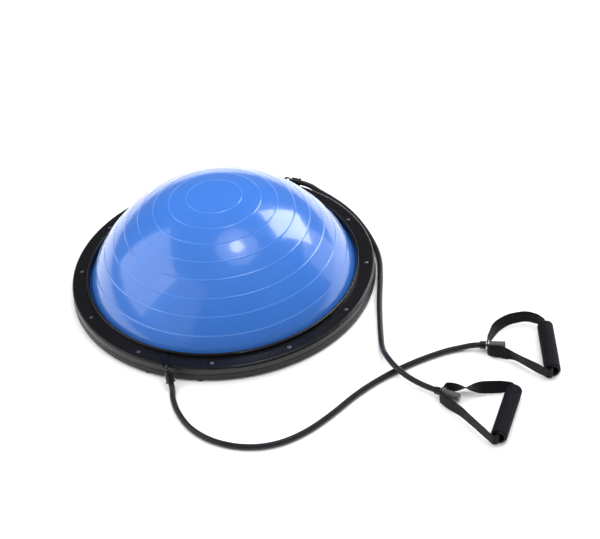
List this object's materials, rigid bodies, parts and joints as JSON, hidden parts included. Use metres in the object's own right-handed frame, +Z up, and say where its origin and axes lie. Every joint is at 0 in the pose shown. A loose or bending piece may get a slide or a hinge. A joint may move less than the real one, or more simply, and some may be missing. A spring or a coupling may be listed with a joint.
{
  "type": "balance dome trainer",
  "caption": "Inflated blue half-dome clamped by a screwed black ring on a round flat platform, with two elastic resistance tubes ending in foam-gripped webbing handles.",
  "frame": {"origin": "middle of the round platform on the surface that its feet rest on", "axes": "+Z up through the dome's top; the handles lie on the floor towards +X, and -Y is the front"},
  "size_m": [0.8677, 0.8319, 0.203],
  "materials": {
    "dome_pvc": "glossy moulded blue PVC with fine raised rings",
    "membrane_pvc": "smooth blue PVC sheet",
    "valve_pvc": "moulded blue PVC",
    "plug_plastic": "black moulded plastic",
    "platform_plastic": "black moulded plastic with a fine grain",
    "ring_plastic": "satin black moulded plastic",
    "foot_rubber": "black anti-slip rubber",
    "screw_steel": "black zinc steel",
    "hook_plastic": "black moulded nylon",
    "ferrule_plastic": "polished black plastic",
    "tube_rubber": "dark grey latex tube with a satin sheen",
    "collar_rubber": "black rubber sleeve",
    "stopper_rubber": "dark grey rubber plug",
    "webbing": "black nylon webbing with a ribbed weave",
    "eyelet_steel": "nickel-plated pressed steel",
    "core_plastic": "black extruded pipe",
    "foam": "fine-celled black foam"
  },
  "bodies": {
    "trainer": {"base_membrane": "membrane_pvc", "base_platform": "platform_plastic", "clamp_ring": "ring_plastic", "dome_shell": "dome_pvc", "front_ferrule": "ferrule_plastic", "front_hook": "hook_plastic", "front_tube": "tube_rubber", "front_tube_collar": "collar_rubber", "front_tube_stopper": "stopper_rubber", "rear_ferrule": "ferrule_plastic", "rear_hook": "hook_plastic", "rear_tube": "tube_rubber", "rear_tube_collar": "collar_rubber", "rear_tube_stopper": "stopper_rubber", "ring_screws": "screw_steel", "rubber_feet": "foot_rubber", "valve_seat": "valve_pvc"},
    "valve_plug": {"valve_plug": "plug_plastic"},
    "front_handle": {"front_strap": "webbing", "front_eyelet": "eyelet_steel", "front_eyelet_washer": "eyelet_steel"},
    "front_grip": {"front_grip_core": "core_plastic", "front_foam_grip": "foam"},
    "rear_handle": {"rear_strap": "webbing", "rear_eyelet": "eyelet_steel", "rear_eyelet_washer": "eyelet_steel"},
    "rear_grip": {"rear_grip_core": "core_plastic", "rear_foam_grip": "foam"}
  },
  "joints": [
    {"name": "valve_plug_pull", "type": "slide", "parent": "trainer", "child": "valve_plug", "axis": [-0.4119, 0.7747, 0.4798], "range_m": [0, 0.012]},
    {"name": "front_handle_swivel", "type": "hinge", "parent": "trainer", "child": "front_handle", "pos_m": [0.452, -0.3, 0.0125], "axis": [0.9692, -0.2453, 0.0208], "continuous": true},
    {"name": "front_grip_spin", "type": "hinge", "parent": "front_handle", "child": "front_grip", "pos_m": [0.5558, -0.33138, 0.01475], "axis": [0.1167, 0.9932, -0.0027], "continuous": true},
    {"name": "rear_handle_swivel", "type": "hinge", "parent": "trainer", "child": "rear_handle", "pos_m": [0.351, -0.406, 0.0125], "axis": [0.8048, -0.5933, 0.0185], "continuous": true},
    {"name": "rear_grip_spin", "type": "hinge", "parent": "rear_handle", "child": "rear_grip", "pos_m": [0.44769, -0.47972, 0.01475], "axis": [0.4226, 0.9063, -0.0037], "continuous": true}
  ]
}
